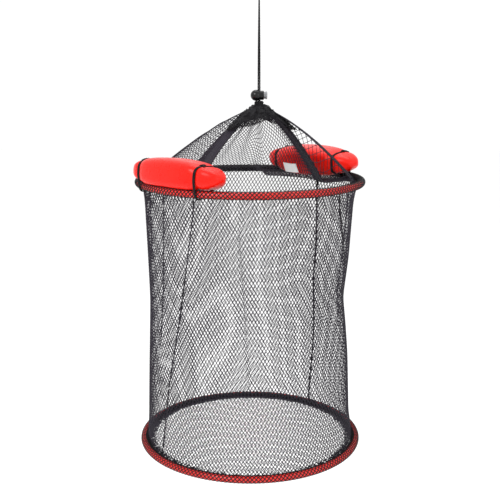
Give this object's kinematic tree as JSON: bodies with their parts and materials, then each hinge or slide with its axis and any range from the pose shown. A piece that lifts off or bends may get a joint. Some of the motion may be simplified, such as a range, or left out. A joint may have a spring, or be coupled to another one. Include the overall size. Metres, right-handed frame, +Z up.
{
  "type": "folding crab trap",
  "caption": "Folding net trap: hoop-ended cylinder of black netting, drawn to a neck with a cord lock, floats lashed on its upper hoop, hung from a drawcord.",
  "frame": {"origin": "top of the hanging loop, where a hook or a hand holds the trap", "axes": "+Z up along the drawcord; the hoops' axis is 13.5 mm to its left, at x = -0.0135; the mouth faces -Y; the lock's button faces +X"},
  "size_m": [0.35, 0.35, 0.7279],
  "materials": {
    "black_net": "knotless nylon netting",
    "black_hem": "gathered and stitched netting",
    "black_cord": "braided cord",
    "red_hose": "semi-gloss hose",
    "float_red": "glossy moulded skin",
    "lock_black": "glossy moulding",
    "lock_grey": "smoky translucent moulding",
    "steel": "drawn wire",
    "label_white": "woven tape"
  },
  "bodies": {
    "drawcord": {"hanging_loop": "black_cord", "hanging_knot": "black_cord", "drawcord_strand_a": "black_cord", "drawcord_strand_b": "black_cord", "neck_gather": "black_net", "neck_loop": "black_cord"},
    "upper_hoop": {"upper_rod": "steel", "upper_ferrule": "steel", "upper_hose": "red_hose", "upper_wrap": "black_net", "upper_hem": "black_hem", "cone_net": "black_net", "cone_seam": "black_hem", "side_net": "black_net", "side_seam": "black_hem", "care_label": "label_white", "front_float": "float_red", "back_float": "float_red", "lashing_knots": "black_cord", "front_lashing_1": "black_cord", "front_lashing_2": "black_cord", "back_lashing_1": "black_cord", "back_lashing_2": "black_cord"},
    "lower_hoop": {"lower_rod": "steel", "lower_ferrule": "steel", "lower_hose": "red_hose", "lower_wrap": "black_net", "lower_hem": "black_hem", "bottom_net": "black_net"},
    "cord_lock": {"lock_body": "lock_black", "lock_spring": "steel"},
    "lock_button": {"lock_button": "lock_grey"}
  },
  "joints": [
    {"name": "cone_fold", "type": "slide", "parent": "drawcord", "child": "upper_hoop", "axis": [0, 0, 1], "range_m": [0, 0.095], "deforming": ["cone_net", "cone_seam"]},
    {"name": "cage_fold", "type": "slide", "parent": "upper_hoop", "child": "lower_hoop", "axis": [0, 0, 1], "range_m": [0, 0.395], "deforming": ["side_net", "side_seam"]},
    {"name": "lock_slide", "type": "slide", "parent": "drawcord", "child": "cord_lock", "axis": [0, 0, 1], "range_m": [0, 0.13]},
    {"name": "button_press", "type": "slide", "parent": "cord_lock", "child": "lock_button", "axis": [-1, 0, 0], "range_m": [0, 0.0025], "stiffness_N_per_m": 600, "springref_m": -0.006, "deforming": ["lock_spring"]}
  ]
}
